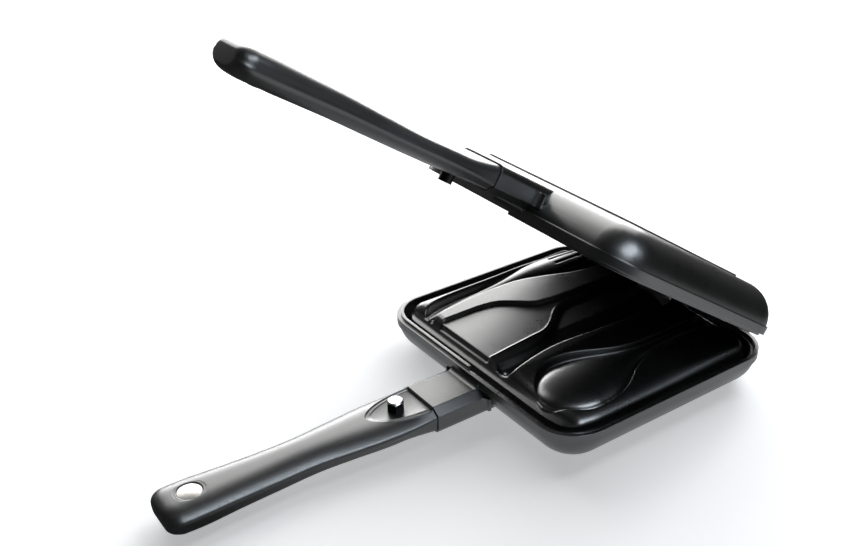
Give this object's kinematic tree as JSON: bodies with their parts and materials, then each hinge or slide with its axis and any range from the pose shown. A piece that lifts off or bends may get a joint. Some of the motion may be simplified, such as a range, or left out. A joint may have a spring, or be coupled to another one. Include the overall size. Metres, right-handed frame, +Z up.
{
  "type": "pie iron",
  "caption": "Hinged double pie iron: two cast pans with relief plates inside, long plastic grips, a magnetic catch, and hinges at the far side.",
  "frame": {"origin": "on the flat foot of the lower pan, below the centre of its rim", "axes": "+X from the grips to the hinges, +Y along the hinge line, +Z up"},
  "size_m": [0.3552, 0.178, 0.2332],
  "materials": {
    "cast_coating": "cast aluminium with a smooth dark non-stick coating, soft satin sheen",
    "plate_coating": "cast aluminium with a dark non-stick coating, fine grain, satin sheen",
    "foot_coating": "flat steel plate with a dark heat-proof coating",
    "grip_plastic": "moulded heat-proof plastic, dark grey, fine matt texture with a soft sheen",
    "plain_steel": "turned steel, plain",
    "polished_steel": "bright plated steel with fine turning marks",
    "dark_steel": "blackened steel",
    "gasket_rubber": "black silicone rubber, matt"
  },
  "bodies": {
    "lower": {"lower_pan": "cast_coating", "lower_mold_plate": "plate_coating", "lower_plate_screws": "plain_steel", "lower_foot_plate": "foot_coating", "lower_tang": "dark_steel", "lower_neck_gasket": "gasket_rubber", "lower_grip": "grip_plastic", "catch_screw": "polished_steel", "lower_end_screw": "polished_steel", "hinge_pins": "plain_steel", "hinge_washers": "plain_steel"},
    "upper": {"upper_pan": "cast_coating", "upper_mold_plate": "plate_coating", "upper_plate_screws": "plain_steel", "upper_foot_plate": "foot_coating", "upper_tang": "dark_steel", "upper_neck_gasket": "gasket_rubber", "upper_grip": "grip_plastic", "magnet_holder": "dark_steel", "catch_magnet": "plain_steel", "upper_end_screw": "polished_steel"}
  },
  "joints": [
    {"name": "lid_hinge", "type": "hinge", "parent": "lower", "child": "upper", "pos_m": [0.0852, 0, 0.024], "axis": [0, 1, 0], "range_deg": [-34, 146]}
  ]
}
